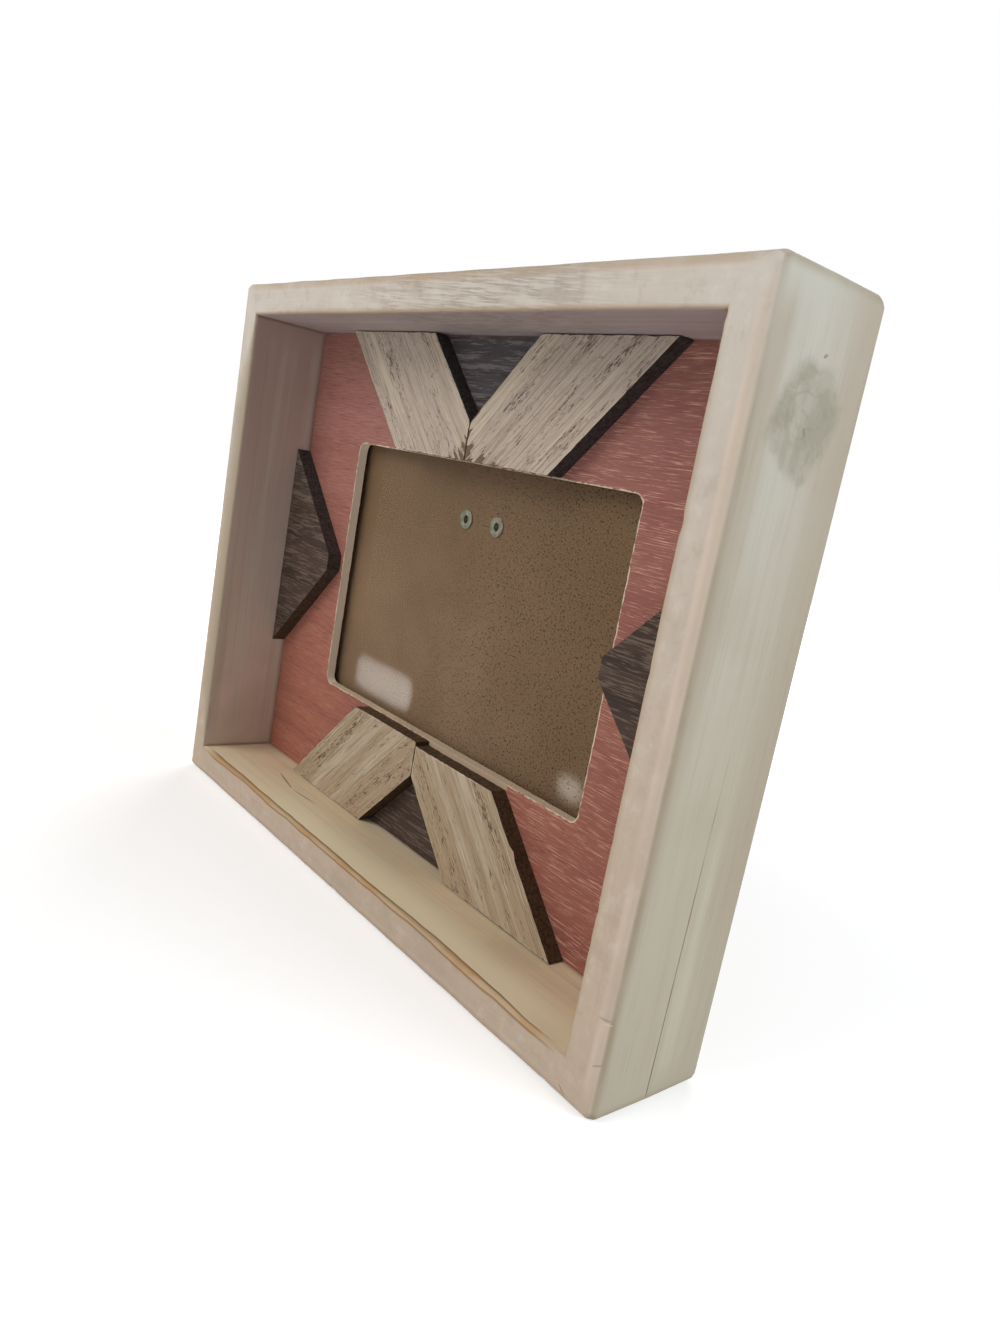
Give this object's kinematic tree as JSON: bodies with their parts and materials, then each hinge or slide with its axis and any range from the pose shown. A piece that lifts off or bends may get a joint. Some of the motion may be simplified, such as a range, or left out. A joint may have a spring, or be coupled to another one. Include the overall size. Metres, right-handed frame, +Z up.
{
  "type": "photo frame",
  "caption": "Deep whitewashed wooden photo frame with a recessed coral panel, slanted slats and dark triangles round a glazed window, and a folding easel leg behind.",
  "frame": {"origin": "middle of the flat underside of the bottom rail, halfway between the front and back faces of the rails", "axes": "+X to the viewer's right along the width, +Y from the front to the back, +Z up"},
  "size_m": [0.2414, 0.0424, 0.1905],
  "materials": {
    "whitewashed_wood": "thin white wash over pine, worn at the edges",
    "slat_whitewash": "rough whitewash on fibreboard, brown cut sides",
    "coral_paint": "coral paint with pale dry-brush streaks",
    "dark_stain": "dark brown stain with pale streaks",
    "hardboard": "bare brown fibreboard",
    "clear_glass": "clear float glass",
    "zinc_steel": "zinc-plated steel"
  },
  "bodies": {
    "frame": {"top_rail": "whitewashed_wood", "bottom_rail": "whitewashed_wood", "left_stile": "whitewashed_wood", "right_stile": "whitewashed_wood", "corner_nail_bottom_left": "zinc_steel", "corner_nail_bottom_right": "zinc_steel", "corner_nail_top_right": "zinc_steel", "corner_nail_top_left": "zinc_steel", "face_panel": "coral_paint", "slat_top_left": "slat_whitewash", "slat_top_right": "slat_whitewash", "slat_bottom_left": "slat_whitewash", "slat_bottom_right": "slat_whitewash", "triangle_left": "dark_stain", "triangle_right": "dark_stain", "infill_top": "dark_stain", "infill_bottom": "dark_stain", "glass_pane": "clear_glass", "back_board": "hardboard", "board_rivet_left": "zinc_steel", "board_rivet_right": "zinc_steel", "hinge_fixed_leaf": "zinc_steel", "hinge_pin": "zinc_steel", "button_screw_upper_left": "zinc_steel", "button_screw_upper_right": "zinc_steel", "button_screw_lower_left": "zinc_steel", "button_screw_lower_right": "zinc_steel"},
    "easel": {"hinge_moving_leaf": "zinc_steel", "easel_leg": "hardboard", "leg_rivet_left": "zinc_steel", "leg_rivet_right": "zinc_steel"},
    "button_upper_left": {"turn_button_upper_left": "zinc_steel"},
    "button_upper_right": {"turn_button_upper_right": "zinc_steel"},
    "button_lower_left": {"turn_button_lower_left": "zinc_steel"},
    "button_lower_right": {"turn_button_lower_right": "zinc_steel"}
  },
  "joints": [
    {"name": "easel_hinge", "type": "hinge", "parent": "frame", "child": "easel", "pos_m": [0, 0.02092, 0.115], "axis": [1, 0, 0], "range_deg": [0, 26]},
    {"name": "swivel_upper_left", "type": "hinge", "parent": "frame", "child": "button_upper_left", "pos_m": [-0.11615, 0.01965, 0.14225], "axis": [0, 1, 0], "continuous": true},
    {"name": "swivel_upper_right", "type": "hinge", "parent": "frame", "child": "button_upper_right", "pos_m": [0.11615, 0.01965, 0.14225], "axis": [0, 1, 0], "continuous": true},
    {"name": "swivel_lower_left", "type": "hinge", "parent": "frame", "child": "button_lower_left", "pos_m": [-0.11615, 0.01965, 0.04825], "axis": [0, 1, 0], "continuous": true},
    {"name": "swivel_lower_right", "type": "hinge", "parent": "frame", "child": "button_lower_right", "pos_m": [0.11615, 0.01965, 0.04825], "axis": [0, 1, 0], "continuous": true}
  ]
}
